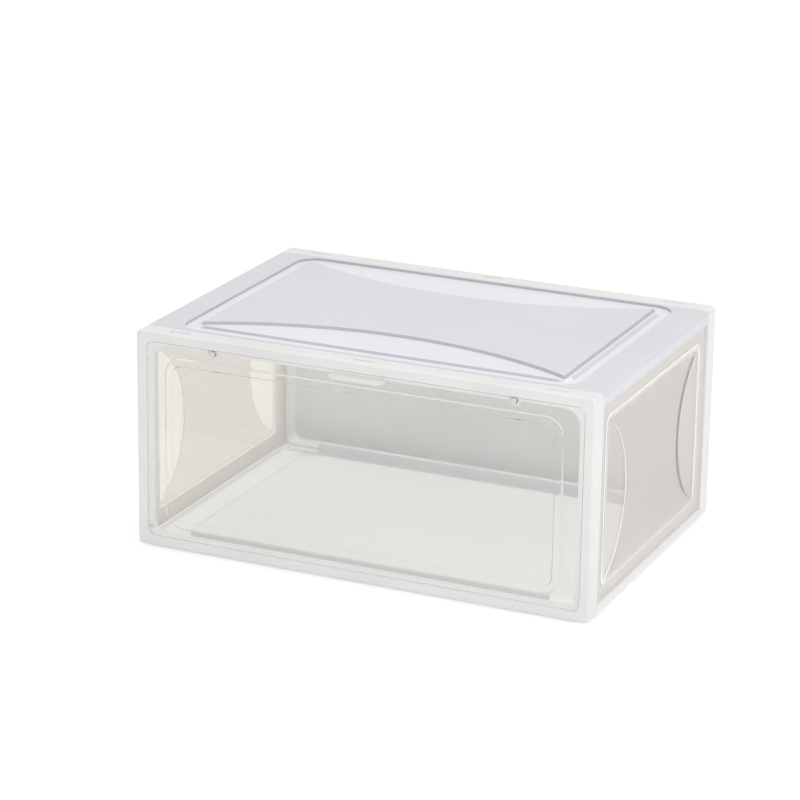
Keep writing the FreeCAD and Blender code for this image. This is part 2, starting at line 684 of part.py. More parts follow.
def make_bottom_panel():
    """The bottom: a rim to stand on, a raised middle that clears the box below, and two upstands."""
    body = new_body("bottom_panel")
    wall = "plate_wall"
    rise = "field_rise - plateau_drop + nest_clearance"
    add_block(body, "rim_plate", "Z", "0", wall, Rectangle(minus(SIDE_X), SIDE_X, PLATE_FRONT, PLATE_BACK))
    top_x, top_y = "well_inset_x + nest_run", "well_inset_y + nest_run"
    loft(body, "Additive", "nest", [(wall, plan("well_inset_x", "well_inset_y", "nest_corner")),
                                    (f"{rise} + {wall}", plan(top_x, top_y, "nest_corner"))])
    foot_x, foot_y = f"well_inset_x + {wall} - nest_run / 2", f"well_inset_y + {wall} - nest_run / 2"
    loft(body, "Subtractive", "nest_hollow",
         [("0", plan(foot_x, foot_y, "nest_corner")),
          (rise, plan(f"{top_x} + {wall} / 2", f"{top_y} + {wall} / 2", "nest_corner"))])
    reach = f"{SIDE_X} - upstand_inset"
    add_block(body, "upstands", "Z", f"{wall} / 2", "upstand_height",
              Rectangle(minus(reach), reach, PLATE_FRONT, f"{PLATE_FRONT} + upstand_wall"),
              Rectangle(minus(reach), reach, f"{PLATE_BACK} - upstand_wall", PLATE_BACK))
    strip_low = "frame_wall + slip_gap"
    strip_top = f"{strip_low} + tongue_wall"
    add_tongues(body, (strip_low, strip_top), (f"{wall} / 2", strip_top), ("hook_sink", strip_low))
    add_skirts(body, f"{wall} / 2", "bottom_skirt", f"{wall} / 2", "rib_height")
    round_long_edges(body, "0")
    return body


# ---------------------------------------------------------------------------------------------------
# Side panels
# ---------------------------------------------------------------------------------------------------
def make_side_panel(side):
    """A side: a plate with a bead round a waisted field, its relief turned outwards."""
    body = new_body(f"{side}_side_panel")
    right = side == "right"

    def span(inner, outer):
        return (inner, outer) if right else (minus(outer), minus(inner))

    face = SIDE_FACE
    add_block(body, "plate", "X", *span(f"{face} - plate_wall", face),
              Rectangle(f"{HINGE_Y} + hinge_boss / 2 + slip_gap", f"{BACK_Y} - frame_wall - slip_gap",
                        "outer_corner + slip_gap", "rim_height - outer_corner - slip_gap"))
    bead = (f"{FRONT_Y} + side_bead_front", f"{BACK_Y} - side_bead_back",
            "side_bead_bottom", "rim_height - side_bead_top")
    inside = (f"{bead[0]} + side_bead_width", f"{bead[1]} - side_bead_width",
              f"{bead[2]} + side_bead_width", f"{bead[3]} - side_bead_width")
    add_block(body, "bead", "X", *span(face, f"{face} + side_bead_rise"),
              Rectangle(*bead, "side_bead_corner"), Rectangle(*inside, "side_bead_corner - side_bead_width"))
    field = Waist(*inside, f"{inside[0]} + side_field_waist", f"{inside[1]} - side_field_waist",
                  standing=True)
    add_block(body, "field", "X", *span(face, f"{face} + side_field_rise"), field)
    return body


# ---------------------------------------------------------------------------------------------------
# Door, magnets and studs
# ---------------------------------------------------------------------------------------------------
def make_door():
    """The door: a clear plate with a bead, a pull tongue, stub pins and holes for the studs."""
    body = new_body("door")
    back = f"{DOOR_Y} + door_wall"
    add_block(body, "plate", "Y", DOOR_Y, back, opening("0 - door_gap", "door_corner"))
    bead = (minus(f"{SIDE_X} - bead_inset"), f"{SIDE_X} - bead_inset",
            "bead_inset_bottom", "rim_height - bead_inset_top")
    inside = (minus(f"{SIDE_X} - bead_inset - bead_width"), f"{SIDE_X} - bead_inset - bead_width",
              "bead_inset_bottom + bead_width", "rim_height - bead_inset_top - bead_width")
    add_block(body, "bead", "Y", f"{DOOR_Y} - bead_rise", DOOR_Y,
              Rectangle(*bead, "bead_corner"), Rectangle(*inside, "bead_corner - bead_width"),
              slope="bead_slope")
    top = "rim_height - pull_drop"
    add_block(body, "pull", "Z", f"{top} - pull_thickness", top,
              Tongue("pull_width", f"{FRONT_Y} - pull_reach", f"{DOOR_Y} + door_wall / 2", "pull_corner"))
    tip = size(f"{FRONT_Y} - pull_reach / 2")
    round_edges(body, "pull_edges", "pull_edge_round", lambda edge: is_pull_edge(edge, tip))
    pin = Circle(HINGE_Y, HINGE_Z, "pin_radius")
    near, far = f"{OPENING_X} - door_gap - pin_root", f"{OPENING_X} + pin_length"
    add_block(body, "pin_right", "X", near, far, pin)
    add_block(body, "pin_left", "X", minus(far), minus(near), pin)
    cut_block(body, "stud_holes", "Y", DOOR_Y, back, *at_catches("stud_shank_radius + stud_fit"))
    return body


def is_pull_edge(edge, limit):
    """Whether an edge runs round the outside of the pull tongue, clear of the plate."""
    box = edge.BoundBox
    return box.YMin < limit and box.ZMax - box.ZMin < 1e-4


def make_magnet(side, centre):
    """A round magnet, just below the face of its boss."""
    body = new_body(f"magnet_{side}")
    face = f"{SEAT_Y} - magnet_boss_rise + magnet_sink"
    add_block(body, "disc", "Y", face, f"{face} + magnet_thickness", Circle(centre, CATCH_Z, "magnet_radius"))
    return body


def make_catch_stud(side, centre):
    """A steel rivet through the door: a head with a dimple, a shank and a flat tail."""
    body = new_body(f"catch_stud_{side}")
    back = f"{DOOR_Y} + door_wall"
    add_block(body, "head", "Y", f"{DOOR_Y} - stud_head", DOOR_Y, Circle(centre, CATCH_Z, "stud_head_radius"))
    add_block(body, "shank", "Y", f"{DOOR_Y} - stud_head / 2", f"{back} + stud_tail / 2",
              Circle(centre, CATCH_Z, "stud_shank_radius"))
    add_block(body, "tail", "Y", back, f"{back} + stud_tail", Circle(centre, CATCH_Z, "stud_head_radius"))
    cut_block(body, "dimple", "Y", f"{DOOR_Y} - stud_head", f"{DOOR_Y} - stud_head + stud_dimple_depth",
              Circle(centre, CATCH_Z, "stud_dimple_radius"))
    return body


# ---------------------------------------------------------------------------------------------------
# The whole box
# ---------------------------------------------------------------------------------------------------
bodies = [
    make_front_frame(),
    make_back_cover(),
    make_top_panel(),
    make_bottom_panel(),
    make_side_panel("left"),
    make_side_panel("right"),
    make_door(),
]
for side, centre in zip(("left", "right"), CATCHES):
    bodies.append(make_magnet(side, centre))
    bodies.append(make_catch_stud(side, centre))

doc.recompute()
failed = [item.Name for item in doc.Objects if "Invalid" in item.State or "Error" in item.State]
if failed:
    raise RuntimeError(f"objects failed to build: {failed}")
for body in bodies:
    if body.Shape.isNull() or not body.Shape.isValid() or len(body.Shape.Solids) != 1:
        raise RuntimeError(f"{body.Label} is not one valid solid")

os.makedirs("parts", exist_ok=True)
for body in bodies:
    body.Shape.exportStep(f"parts/{body.Label}.step")
    box = body.Shape.BoundBox
    print(f"{body.Label:18s} volume {body.Shape.Volume:10.0f} mm3, X {box.XMin:.1f} to {box.XMax:.1f}, "
          f"Y {box.YMin:.1f} to {box.YMax:.1f}, Z {box.ZMin:.1f} to {box.ZMax:.1f}")
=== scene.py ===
"""Dresses a stackable shoe box with a clear drop-down front and sets it in a plain white studio.

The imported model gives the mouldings. Each of them is copied, its edges are rounded as a mould leaves them,
and the copy gets the finish of its plastic. The two catches are turned afresh. Lengths are in metres, with
+X to the right of the box, +Y to its back and +Z up.
"""

from __future__ import annotations

import logging
import math
from dataclasses import dataclass
from enum import Enum
from typing import Any

import bmesh
import bpy
from mathutils import Matrix, Vector

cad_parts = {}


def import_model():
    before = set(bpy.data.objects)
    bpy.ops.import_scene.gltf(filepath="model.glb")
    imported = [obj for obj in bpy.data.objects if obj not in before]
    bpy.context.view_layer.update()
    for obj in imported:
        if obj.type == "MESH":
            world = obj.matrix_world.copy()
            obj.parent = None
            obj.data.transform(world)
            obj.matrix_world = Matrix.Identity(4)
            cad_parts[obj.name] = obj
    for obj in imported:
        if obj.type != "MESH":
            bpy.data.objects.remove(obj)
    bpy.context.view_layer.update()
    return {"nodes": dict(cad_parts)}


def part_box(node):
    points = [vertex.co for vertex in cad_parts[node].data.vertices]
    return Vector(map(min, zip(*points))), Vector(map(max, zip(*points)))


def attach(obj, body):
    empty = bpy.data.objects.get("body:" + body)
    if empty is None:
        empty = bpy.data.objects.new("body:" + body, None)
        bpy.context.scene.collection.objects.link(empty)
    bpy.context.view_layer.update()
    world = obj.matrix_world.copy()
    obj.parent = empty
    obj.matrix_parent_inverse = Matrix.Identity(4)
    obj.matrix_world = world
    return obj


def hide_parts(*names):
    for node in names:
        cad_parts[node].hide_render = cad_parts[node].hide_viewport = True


LOG = logging.getLogger("shoe_box")
MM = 0.001

Tree = bpy.types.NodeTree
Node = bpy.types.Node
Socket = bpy.types.NodeSocket
Colour = tuple[float, float, float, float]

# Settings of a maths node.
ABSOLUTE = {"operation": "ABSOLUTE"}
LARGER = {"operation": "MAXIMUM"}
MINUS = {"operation": "SUBTRACT"}
TIMES = {"operation": "MULTIPLY"}


def linear(code: str) -> Colour:
    """Turns an sRGB hex colour into the linear colour that a shader reads.

    Args:
        code: Six hex digits after a hash sign.

    Returns:
        Red, green, blue and a full alpha.
    """
    channels = [int(code[place : place + 2], 16) / 255 for place in (1, 3, 5)]
    red, green, blue = (c / 12.92 if c <= 0.04045 else ((c + 0.055) / 1.055) ** 2.4 for c in channels)
    return (red, green, blue, 1.0)


def add_node(tree: Tree, kind: str, settings: dict[str, Any] | None = None, **inputs: Any) -> Node:
    """Adds a node, with its settings and what feeds its inputs.

    Args:
        tree: The node tree that gets the node.
        kind: The node's type.
        settings: Properties of the node itself.
        inputs: Values or sockets by input name, with _ for a space, or by number as in i0.

    Returns:
        The new node.
    """
    node = tree.nodes.new(kind)
    for name, value in (settings or {}).items():
        setattr(node, name, value)
    for name, value in inputs.items():
        key = int(name[1:]) if name[0] == "i" and name[1:].isdigit() else name.replace("_", " ")
        if isinstance(value, bpy.types.NodeSocket):
            tree.links.new(value, node.inputs[key])
        else:
            node.inputs[key].default_value = value
    return node


def add_object(name: str, data: bpy.types.ID) -> bpy.types.Object:
    """Puts a mesh, a lamp or a camera into the scene.

    Args:
        name: The object's name.
        data: What it shows.

    Returns:
        The new object, at the origin.
    """
    made = bpy.data.objects.new(name, data)
    bpy.context.scene.collection.objects.link(made)
    return made


def keep_mesh(name: str, shape: bmesh.types.BMesh) -> bpy.types.Mesh:
    """Turns a finished shape into a mesh and frees the shape.

    Args:
        name: The mesh's name.
        shape: The shape.

    Returns:
        The mesh.
    """
    mesh = bpy.data.meshes.new(name)
    shape.to_mesh(mesh)
    shape.free()
    return mesh


def rise(tree: Tree, value: Socket, low: float, high: float) -> Socket:
    """Goes smoothly from 0 to 1 as a value goes from low to high.

    Args:
        tree: The node tree of a material.
        value: The value.
        low: Where the rise begins.
        high: Where it ends.

    Returns:
        A socket from 0 to 1.
    """
    settings = {"interpolation_type": "SMOOTHSTEP"}
    made = add_node(tree, "ShaderNodeMapRange", settings, Value=value, From_Min=low, From_Max=high)
    return made.outputs["Result"]


class Layer(Enum):
    """What is laid over what: plain values or colours.

    Each holds the Mix node's data type and the numbers of its sockets for what lies below, what lies
    above and the result.
    """

    VALUE = ("FLOAT", 2, 3, 0)
    COLOUR = ("RGBA", 6, 7, 2)

    def over(self, tree: Tree, base: Any, *coats: tuple[Socket, Any]) -> Socket:
        """Lays coats over a base, one after another, each of them where its mask is 1.

        Args:
            tree: The node tree of a material.
            base: A value, a colour or a socket.
            coats: Pairs of a mask and what it lays on.

        Returns:
            The socket of the last coat.
        """
        kind, below, above, result = self.value
        for mask, coat in coats:
            sockets = {"i0": mask, f"i{below}": base, f"i{above}": coat}
            base = add_node(tree, "ShaderNodeMix", {"data_type": kind}, **sockets).outputs[result]
        return base


class Axis(Enum):
    """A direction of the object's frame."""

    X = "X"
    Y = "Y"
    Z = "Z"


@dataclass(frozen=True)
class Step:
    """Where a moulding's relief passes a place along one axis of the box."""

    axis: Axis
    start: float
    blur: float = 0.05 * MM

    def mask(self, tree: Tree) -> Socket:
        """Gives 1 beyond the place and 0 before it, on both sides of the box alike.

        Args:
            tree: The node tree of a material.

        Returns:
            A socket from 0 to 1.
        """
        place = add_node(tree, "ShaderNodeTexCoord").outputs["Object"]
        along = add_node(tree, "ShaderNodeSeparateXYZ", Vector=place).outputs[self.axis.value]
        size = add_node(tree, "ShaderNodeMath", ABSOLUTE, i0=along)
        return rise(tree, size.outputs[0], self.start - self.blur, self.start + self.blur)


@dataclass(frozen=True)
class Window:
    """An upright rectangle on the side of the box, between two places along Y and two along Z."""

    front: float
    back: float
    low: float
    high: float
    blur: float = 0.1 * MM

    def outside(self, tree: Tree) -> Socket:
        """Gives 1 outside the rectangle and 0 inside it.

        Args:
            tree: The node tree of a material.

        Returns:
            A socket from 0 to 1.
        """
        place = add_node(tree, "ShaderNodeTexCoord").outputs["Object"]
        parts = add_node(tree, "ShaderNodeSeparateXYZ", Vector=place)
        beyond = []
        for axis, near, far in ((Axis.Y, self.front, self.back), (Axis.Z, self.low, self.high)):
            along, middle, reach = parts.outputs[axis.value], (near + far) / 2, (far - near) / 2
            centred = add_node(tree, "ShaderNodeMath", MINUS, i0=along, i1=middle)
            size = add_node(tree, "ShaderNodeMath", ABSOLUTE, i0=centred.outputs[0])
            beyond.append(rise(tree, size.outputs[0], reach - self.blur, reach + self.blur))
        return add_node(tree, "ShaderNodeMath", LARGER, i0=beyond[0], i1=beyond[1]).outputs[0]


@dataclass(frozen=True)
class Grain:
    """A pattern of soft noise at a real size, for bump, cloudiness and gloss.

    Attributes:
        pitch: The pattern's size.
        detail: How many finer octaves it has.
        low: What the noise seldom goes below.
        high: What it seldom goes above.
    """

    pitch: float
    detail: float = 2.0
    low: float = 0.3
    high: float = 0.7

    def field(self, tree: Tree) -> Socket:
        """Gives the noise at this pitch on the object's own coordinates.

        Args:
            tree: The node tree of a material.

        Returns:
            A socket about 0.5.
        """
        place = add_node(tree, "ShaderNodeTexCoord").outputs["Object"]
        size = {"Scale": 1 / self.pitch, "Detail": self.detail, "Roughness": 0.5}
        return add_node(tree, "ShaderNodeTexNoise", Vector=place, **size).outputs["Fac"]

    def between(self, tree: Tree, least: float, most: float) -> Socket:
        """Stretches the noise over a range.

        Args:
            tree: The node tree of a material.
            least: The low end of the range.
            most: Its high end.

        Returns:
            A socket in the range.
        """
        bounds = {"From_Min": self.low, "From_Max": self.high, "To_Min": least, "To_Max": most}
        return add_node(tree, "ShaderNodeMapRange", Value=self.field(tree), **bounds).outputs["Result"]


@dataclass(frozen=True)
class Finish:
    """What every finish has: a name, a colour, a refractive index and how much light its wall lets in."""

    name: str
    colour: str
    ior: float = 1.49
    lets_in: float = 0.0

    def material(self) -> bpy.types.Material:
        """Makes the material and lets the finish fill in its shader.

        Returns:
            The material, with one Principled shader.
        """
        made = bpy.data.materials.new(self.name)
        made.use_nodes = True
        tree = made.node_tree
        tree.nodes.clear()
        shader = add_node(tree, "ShaderNodeBsdfPrincipled", Base_Color=linear(self.colour), IOR=self.ior)
        add_node(tree, "ShaderNodeOutputMaterial", Surface=self.thin(tree, shader.outputs[0]))
        self.fill(tree, shader)
        made.diffuse_color = linear(self.colour)
        return made

    def thin(self, tree: Tree, surface: Socket) -> Socket:
        """Lets light from lamps and walls pass straight through, as it does through a thin moulding.

        Args:
            tree: The material's node tree.
            surface: What the eye sees.

        Returns:
            The surface, see-through to that light by the share that the wall lets in.
        """
        if self.lets_in == 0:
            return surface
        path = add_node(tree, "ShaderNodeLightPath")
        lamp, wall = path.outputs["Is Shadow Ray"], path.outputs["Is Diffuse Ray"]
        lit = add_node(tree, "ShaderNodeMath", LARGER, i0=lamp, i1=wall)
        # Light crosses both faces of a wall, so each of them passes the root of the whole share.
        share = add_node(tree, "ShaderNodeMath", TIMES, i0=lit.outputs[0], i1=self.lets_in**0.5)
        clear = add_node(tree, "ShaderNodeBsdfTransparent", Color=(1, 1, 1, 1))
        mixed = add_node(tree, "ShaderNodeMixShader", i0=share.outputs[0], i1=surface, i2=clear.outputs[0])
        return mixed.outputs[0]

    def fill(self, tree: Tree, shader: Node) -> None:
        """Sets the shader's own values and patterns.

        Args:
            tree: The material's node tree.
            shader: Its Principled shader.
        """

    def dimple(
        self, tree: Tree, shader: Node, grain: Grain, depth: float, where: Socket | None = None
    ) -> None:
        """Gives the surface a fine relief.

        Args:
            tree: The material's node tree.
            shader: Its Principled shader.
            grain: The relief's pattern.
            depth: Its depth.
            where: A mask that is 1 where the relief is, if it isn't everywhere.
        """
        height = grain.field(tree)
        if where:
            height = add_node(tree, "ShaderNodeMath", TIMES, i0=height, i1=where).outputs[0]
        bump = add_node(tree, "ShaderNodeBump", Height=height, Distance=depth, Strength=1.0)
        tree.links.new(bump.outputs[0], shader.inputs["Normal"])


@dataclass(frozen=True)
class MilkyPolypropylene(Finish):
    """Natural polypropylene, injection moulded: white with some light passing, and a soft gloss.

    The melt leaves slow clouds of slightly denser white, and the mould's own polish makes the gloss wander.
    """

    clouds: str = "#D8D8D7"
    gloss: float = 0.36
    gloss_change: float = 0.05
    skin: float = 0.25
    skin_gloss: float = 0.12
    cloud: Grain = Grain(70 * MM)
    polish: Grain = Grain(9 * MM)
    # The mould's spark texture is about 0.1 mm, too fine to show, so it is drawn at 0.7 mm.
    spark: Grain = Grain(0.7 * MM)
    spark_depth: float = 0.008 * MM

    def fill(self, tree: Tree, shader: Node) -> None:
        """Adds the clouds, the wandering gloss and the spark texture."""
        cloud = self.cloud.between(tree, 0.0, 1.0)
        colour = Layer.COLOUR.over(tree, linear(self.colour), (cloud, linear(self.clouds)))
        tree.links.new(colour, shader.inputs["Base Color"])
        gloss = self.polish.between(tree, self.gloss - self.gloss_change, self.gloss + self.gloss_change)
        tree.links.new(gloss, shader.inputs["Roughness"])
        shader.inputs["Coat Weight"].default_value = self.skin
        shader.inputs["Coat Roughness"].default_value = self.skin_gloss
        self.dimple(tree, shader, self.spark, self.spark_depth)


@dataclass(frozen=True)
class FrostedFieldPolypropylene(Finish):
    """Polypropylene whose mould is polished round a blasted field: the field is matt and a little greyer.

    The rim is the thickest part and lets the least light back out, so it is greyer too. The steep walls
    of the relief get a darker colour, a painted shade.
    """

    field_colour: str = "#D0D1D5"
    rim_colour: str = "#D0D1D6"
    # The darker colour of the steep walls is painted shade.
    wall_painted_shade_colour: str = "#B6B7C0"
    gloss: float = 0.3
    matt: float = 0.5
    skin: float = 0.2
    skin_gloss: float = 0.2
    rim: Step = Step(Axis.Z, 166.8 * MM)
    skirt: Step = Step(Axis.X, 158.0 * MM)
    field: Step = Step(Axis.Z, 168.4 * MM)
    # The upward part of a face's direction, from where it counts as steep to where it counts as level.
    level_from: float = 0.8
    level_at: float = 0.97
    cloud: Grain = Grain(90 * MM)
    cloud_shade: float = 0.96
    # Blasting leaves pits of about 0.1 mm, drawn at 0.8 mm so that they show as a soft tooth.
    blast: Grain = Grain(0.8 * MM, 3.0)
    blast_depth: float = 0.02 * MM

    def fill(self, tree: Tree, shader: Node) -> None:
        """Tells the field, the rim and the steep walls apart by where they lie and how they face, and paints
        shade on the walls.
        """
        field, skirt = self.field.mask(tree), self.skirt.mask(tree)
        rim = add_node(tree, "ShaderNodeMath", LARGER, i0=self.rim.mask(tree), i1=skirt).outputs[0]
        level = add_node(tree, "ShaderNodeMath", LARGER, i0=self.level(tree), i1=skirt).outputs[0]
        coats = (rim, linear(self.rim_colour)), (field, linear(self.field_colour))
        tint = Layer.COLOUR.over(tree, linear(self.colour), *coats)
        # Steep faces take the wall colour, a painted shade.
        tint = Layer.COLOUR.over(tree, linear(self.wall_painted_shade_colour), (level, tint))
        cloud = self.cloud.between(tree, self.cloud_shade, 1.0)
        shade = add_node(tree, "ShaderNodeVectorMath", {"operation": "SCALE"}, i0=tint, Scale=cloud)
        tree.links.new(shade.outputs[0], shader.inputs["Base Color"])
        tree.links.new(Layer.VALUE.over(tree, self.gloss, (field, self.matt)), shader.inputs["Roughness"])
        shader.inputs["Coat Weight"].default_value = self.skin
        shader.inputs["Coat Roughness"].default_value = self.skin_gloss
        self.dimple(tree, shader, self.blast, self.blast_depth, field)

    def level(self, tree: Tree) -> Socket:
        """Gives 1 where the surface lies flat and 0 where it is steep.

        Args:
            tree: The material's node tree.

        Returns:
            A socket from 0 to 1.
        """
        facing = add_node(tree, "ShaderNodeNewGeometry").outputs["Normal"]
        upward = add_node(tree, "ShaderNodeSeparateXYZ", Vector=facing).outputs["Z"]
        size = add_node(tree, "ShaderNodeMath", ABSOLUTE, i0=upward)
        return rise(tree, size.outputs[0], self.level_from, self.level_at)


@dataclass(frozen=True)
class FrostedFieldStyrene(Finish):
    """Clear polystyrene with a blasted field: smoke-clear lenses beside a warm grey frost.

    The border outside the bead is spark-eroded and milky, and every edge of the relief is painted white and
    nearly opaque, a painted highlight.
    """

    field_colour: str = "#F0ECE7"
    border_colour: str = "#DDD9D3"
    bead_colour: str = "#F0EDE9"
    # The edges of the relief get a painted highlight: white, and letting little light through.
    edge_painted_highlight_colour: str = "#FFFFFF"
    clear: float = 0.04
    frost: float = 0.6
    passing: float = 0.92
    border_passing: float = 0.5
    edge_painted_highlight_passing: float = 0.1
    foot: Step = Step(Axis.X, 178.07 * MM)
    crest: Step = Step(Axis.X, 178.72 * MM)
    field: Step = Step(Axis.X, 178.95 * MM)
    inside: Window = Window(-93.5 * MM, 102.5 * MM, 19.0 * MM, 146.0 * MM)
    # Blasting leaves pits of about 0.1 mm, drawn at 0.9 mm so that they show.
    blast: Grain = Grain(0.9 * MM, 3.0)
    blast_depth: float = 0.02 * MM

    def fill(self, tree: Tree, shader: Node) -> None:
        """Tells the frosted field, the lenses, the border and the edges of the relief by where they lie, and
        paints a highlight on the edges.
        """
        field, crest, outside = self.field.mask(tree), self.crest.mask(tree), self.inside.outside(tree)
        # The bead's flank, from its foot to its crest, gets the painted highlight.
        edge = add_node(tree, "ShaderNodeMath", MINUS, i0=self.foot.mask(tree), i1=crest).outputs[0]
        bead = add_node(tree, "ShaderNodeMath", MINUS, i0=crest, i1=field).outputs[0]
        border = add_node(tree, "ShaderNodeMath", LARGER, i0=bead, i1=outside).outputs[0]
        tint = Layer.COLOUR.over(
            tree,
            linear(self.colour),
            (field, linear(self.field_colour)),
            (border, linear(self.border_colour)),
            (bead, linear(self.bead_colour)),
            (edge, linear(self.edge_painted_highlight_colour)),
        )
        tree.links.new(tint, shader.inputs["Base Color"])
        gloss = Layer.VALUE.over(tree, self.clear, (field, self.frost), (border, self.frost))
        tree.links.new(gloss, shader.inputs["Roughness"])
        coats = (field, self.passing), (border, self.border_passing), (edge, self.edge_painted_highlight_passing)
        tree.links.new(Layer.VALUE.over(tree, 1.0, *coats), shader.inputs["Transmission Weight"])
        self.dimple(tree, shader, self.blast, self.blast_depth, field)


@dataclass(frozen=True)
class ClearStyrene(Finish):
    """Clear polystyrene, moulded in a polished tool: a faint warm tint, bright edges and slow waves.

    The pull tongue is spark-eroded for grip, and so it is milky.
    """

    grip_colour: str = "#D9D9D5"
    grip_passing: float = 0.2
    grip_gloss: float = 0.4
    tongue: Step = Step(Axis.Y, 119.0 * MM)
    above_bead: Step = Step(Axis.Z, 152.0 * MM)
    # The flow of the melt leaves waves some 25 mm long and a few microns high, drawn ten times as high.
    wave: Grain = Grain(25 * MM, 1.0)
    wave_height: float = 0.03 * MM
    polish: Grain = Grain(14 * MM)
    polish_best: float = 0.02
    polish_worst: float = 0.06

    def fill(self, tree: Tree, shader: Node) -> None:
        """Adds the clearness, the milky tongue, the slow waves and a trace of handling in the polish."""
        tongue, above = self.tongue.mask(tree), self.above_bead.mask(tree)
        grip = add_node(tree, "ShaderNodeMath", TIMES, i0=tongue, i1=above).outputs[0]
        tint = Layer.COLOUR.over(tree, linear(self.colour), (grip, linear(self.grip_colour)))
        tree.links.new(tint, shader.inputs["Base Color"])
        passing = Layer.VALUE.over(tree, 1.0, (grip, self.grip_passing))
        tree.links.new(passing, shader.inputs["Transmission Weight"])
        polish = self.polish.between(tree, self.polish_best, self.polish_worst)
        tree.links.new(Layer.VALUE.over(tree, polish, (grip, self.grip_gloss)), shader.inputs["Roughness"])
        self.dimple(tree, shader, self.wave, self.wave_height)


@dataclass(frozen=True)
class PlatedMetal(Finish):
    """Nickel plate or bare steel: a grey metal with fine marks from tumbling or turning."""

    # The shader's own default, which a metal keeps.
    ior: float = 1.5
    gloss: float = 0.25
    brighter: float = 0.08
    duller: float = 0.12
    # Tumbling scratches are finer than 0.05 mm, drawn at 0.3 mm.
    marks: Grain = Grain(0.3 * MM, 4.0)

    def fill(self, tree: Tree, shader: Node) -> None:
        """Makes the surface metal and lets its gloss wander with the marks."""
        shader.inputs["Metallic"].default_value = 1.0
        gloss = self.marks.between(tree, self.gloss - self.brighter, self.gloss + self.duller)
        tree.links.new(gloss, shader.inputs["Roughness"])


@dataclass(frozen=True)
class FloorPaint(Finish):
    """A matt white painted board with the faint mottle of a roller."""

    matt: float = 0.9
    shine: float = 0.2
    mottle: Grain = Grain(4 * MM)
    mottle_depth: float = 0.02 * MM

    def fill(self, tree: Tree, shader: Node) -> None:
        """Makes the paint matt and mottles it."""
        shader.inputs["Roughness"].default_value = self.matt
        shader.inputs["Specular IOR Level"].default_value = self.shine
        self.dimple(tree, shader, self.mottle, self.mottle_depth)


class Part(Enum):
    """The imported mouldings, by what they are in the box."""

    FRONT_FRAME = "front_frame"
    BACK_COVER = "back_cover"
    TOP_PANEL = "top_panel"
    BOTTOM_PANEL = "bottom_panel"
    LEFT_SIDE = "left_side_panel"
    RIGHT_SIDE = "right_side_panel"
    DOOR = "door"


@dataclass
class Moulding:
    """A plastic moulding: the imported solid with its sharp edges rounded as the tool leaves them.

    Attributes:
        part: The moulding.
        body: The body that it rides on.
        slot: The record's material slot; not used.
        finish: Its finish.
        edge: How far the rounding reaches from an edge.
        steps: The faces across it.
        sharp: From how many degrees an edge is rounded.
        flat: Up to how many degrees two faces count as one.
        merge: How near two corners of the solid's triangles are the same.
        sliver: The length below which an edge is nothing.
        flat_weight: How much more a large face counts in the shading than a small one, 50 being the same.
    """

    part: Part
    body: str
    slot: str
    finish: Finish
    edge: float = 0.35 * MM
    steps: int = 2
    sharp: float = 28.0
    flat: float = 0.5
    merge: float = 0.002 * MM
    sliver: float = 0.001 * MM
    flat_weight: int = 80

    def build(self, node: bpy.types.Object) -> bpy.types.Object:
        """Copies the solid, rounds it, dresses it and puts it in the solid's place.

        Args:
            node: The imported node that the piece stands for.

        Returns:
            The new piece.
        """
        name = f"{self.part.value}_moulding"
        shape = bmesh.new()
        shape.from_mesh(node.data)
        self.round(shape)
        mesh = keep_mesh(name, shape)
        piece = add_object(name, mesh)
        self.smooth(piece)
        mesh.materials.clear()
        mesh.materials.append(self.finish.material())
        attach(piece, self.body)
        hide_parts(self.part.value)
        return piece

    def round(self, shape: bmesh.types.BMesh) -> None:
        """Joins the loose triangles into flat faces and rounds the edges between them.

        Args:
            shape: The solid's triangles, changed in place.
        """
        bmesh.ops.remove_doubles(shape, verts=shape.verts, dist=self.merge)
        bmesh.ops.dissolve_degenerate(shape, edges=shape.edges, dist=self.sliver)
        bmesh.ops.dissolve_limit(
            shape,
            angle_limit=math.radians(self.flat),
            verts=shape.verts,
            edges=shape.edges,
            use_dissolve_boundaries=False,
        )
        # One call narrows all its roundings to what its tightest corner leaves, so each run has its own.
        for run in self.runs(shape):
            bmesh.ops.bevel(
                shape,
                geom=[edge for edge in run if edge.is_valid],
                offset=self.edge,
                offset_type="OFFSET",
                segments=self.steps,
                profile=0.5,
                affect="EDGES",
                clamp_overlap=True,
                material=-1,
            )
        bmesh.ops.triangulate(shape, faces=[face for face in shape.faces if len(face.verts) > 4])

    def runs(self, shape: bmesh.types.BMesh) -> list[list[bmesh.types.BMEdge]]:
        """Finds the sharp edges and sorts them into runs that meet end to end.

        Args:
            shape: The solid, with flat faces.

        Returns:
            Lists of edges. No two lists share a vertex.
        """
        left = {
            edge: None
            for edge in shape.edges
            if edge.is_manifold and abs(edge.calc_face_angle(0.0)) > math.radians(self.sharp)
        }
        found = []
        while left:
            run = [left.popitem()[0]]
            for edge in run:
                near = [other for vert in edge.verts for other in vert.link_edges if other in left]
                for other in dict.fromkeys(near):
                    del left[other]
                    run.append(other)
            found.append(run)
        return found

    def smooth(self, piece: bpy.types.Object) -> None:
        """Shades the rounded edges smoothly and keeps the flat faces flat.

        Args:
            piece: The new piece.
        """
        for polygon in piece.data.polygons:
            polygon.use_smooth = True
        weighted = piece.modifiers.new("flat_faces", "WEIGHTED_NORMAL")
        weighted.mode = "FACE_AREA"
        weighted.weight = self.flat_weight
        weighted.keep_sharp = False


